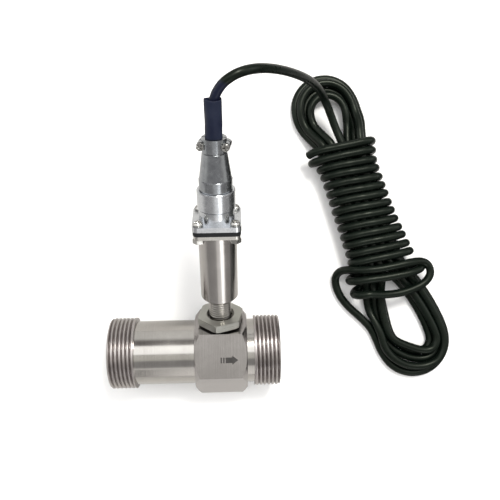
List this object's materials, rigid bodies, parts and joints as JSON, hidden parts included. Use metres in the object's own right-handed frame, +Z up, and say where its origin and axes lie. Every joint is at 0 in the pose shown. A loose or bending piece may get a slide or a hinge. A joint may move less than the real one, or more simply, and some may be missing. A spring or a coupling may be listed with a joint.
{
  "type": "turbine flow meter",
  "caption": "Liquid turbine flow meter with threaded ports, hexagonal centre, pickup stem, circular connector and a cable tied in a hank.",
  "frame": {"origin": "centre of the inlet face on the pipe axis", "axes": "+X along the flow, from inlet to outlet; +Z up from the table that the meter lies on with one flat of its hexagon; the stem leans 60 degrees from +Z towards +Y"},
  "size_m": [0.212, 0.1989, 0.107],
  "materials": {
    "body_steel": "turned and lightly brushed stainless steel",
    "housing_steel": "satin turned stainless steel",
    "inner_steel": "machined stainless steel",
    "rotor_steel": "machined magnetic stainless steel",
    "spring_steel": "dark spring steel",
    "carbide": "ground carbide",
    "connector_chrome": "bright plated metal",
    "screw_steel": "bright plated screws",
    "contact_brass": "plated contacts",
    "copper": "enamelled copper wire",
    "soft_iron": "plain iron",
    "board_green": "circuit board",
    "black_plastic": "moulded plastic",
    "wire_red": "thin insulated wire",
    "black_rubber": "soft rubber",
    "navy_sleeve": "heat-shrunk sleeve",
    "cable_black": "flexible cable jacket"
  },
  "bodies": {
    "meter": {"meter_body": "body_steel", "inlet_conditioner": "inner_steel", "outlet_conditioner": "inner_steel", "inlet_retaining_ring": "spring_steel", "outlet_retaining_ring": "spring_steel", "inlet_bush": "carbide", "outlet_bush": "carbide", "seal_washer": "black_rubber", "jam_nut": "body_steel", "pickup_housing": "housing_steel", "coil_bobbin": "black_plastic", "coil_winding": "copper", "pole_piece": "soft_iron", "pickup_magnet": "soft_iron", "board_holder": "black_plastic", "amplifier_board": "board_green", "coil_leads": "wire_red", "signal_leads": "wire_red", "housing_flange": "housing_steel", "flange_gasket": "black_rubber", "receptacle_shell": "connector_chrome", "receptacle_insert": "black_plastic", "receptacle_pins": "contact_brass", "flange_screws": "screw_steel", "flange_nuts": "screw_steel", "plug_shell": "connector_chrome", "plug_insert": "black_plastic", "plug_contacts": "contact_brass", "plug_leads": "wire_red", "backshell": "connector_chrome", "cable_clamp": "connector_chrome", "clamp_screws": "screw_steel", "cable_sleeve": "navy_sleeve", "cable_core": "cable_black", "cable_lead": "cable_black", "cable_hank": "cable_black"},
    "rotor_assembly": {"rotor": "rotor_steel", "rotor_shaft": "carbide"},
    "locking_ring": {"coupling_ring": "connector_chrome"}
  },
  "joints": [
    {"name": "rotor_spin", "type": "hinge", "parent": "meter", "child": "rotor_assembly", "pos_m": [0.0656, 0, 0], "axis": [1, 0, 0], "continuous": true},
    {"name": "coupling_ring_turn", "type": "hinge", "parent": "meter", "child": "locking_ring", "pos_m": [0.0656, 0.08833, 0.051], "axis": [0, 0.866, 0.5], "range_deg": [0, 120]}
  ]
}
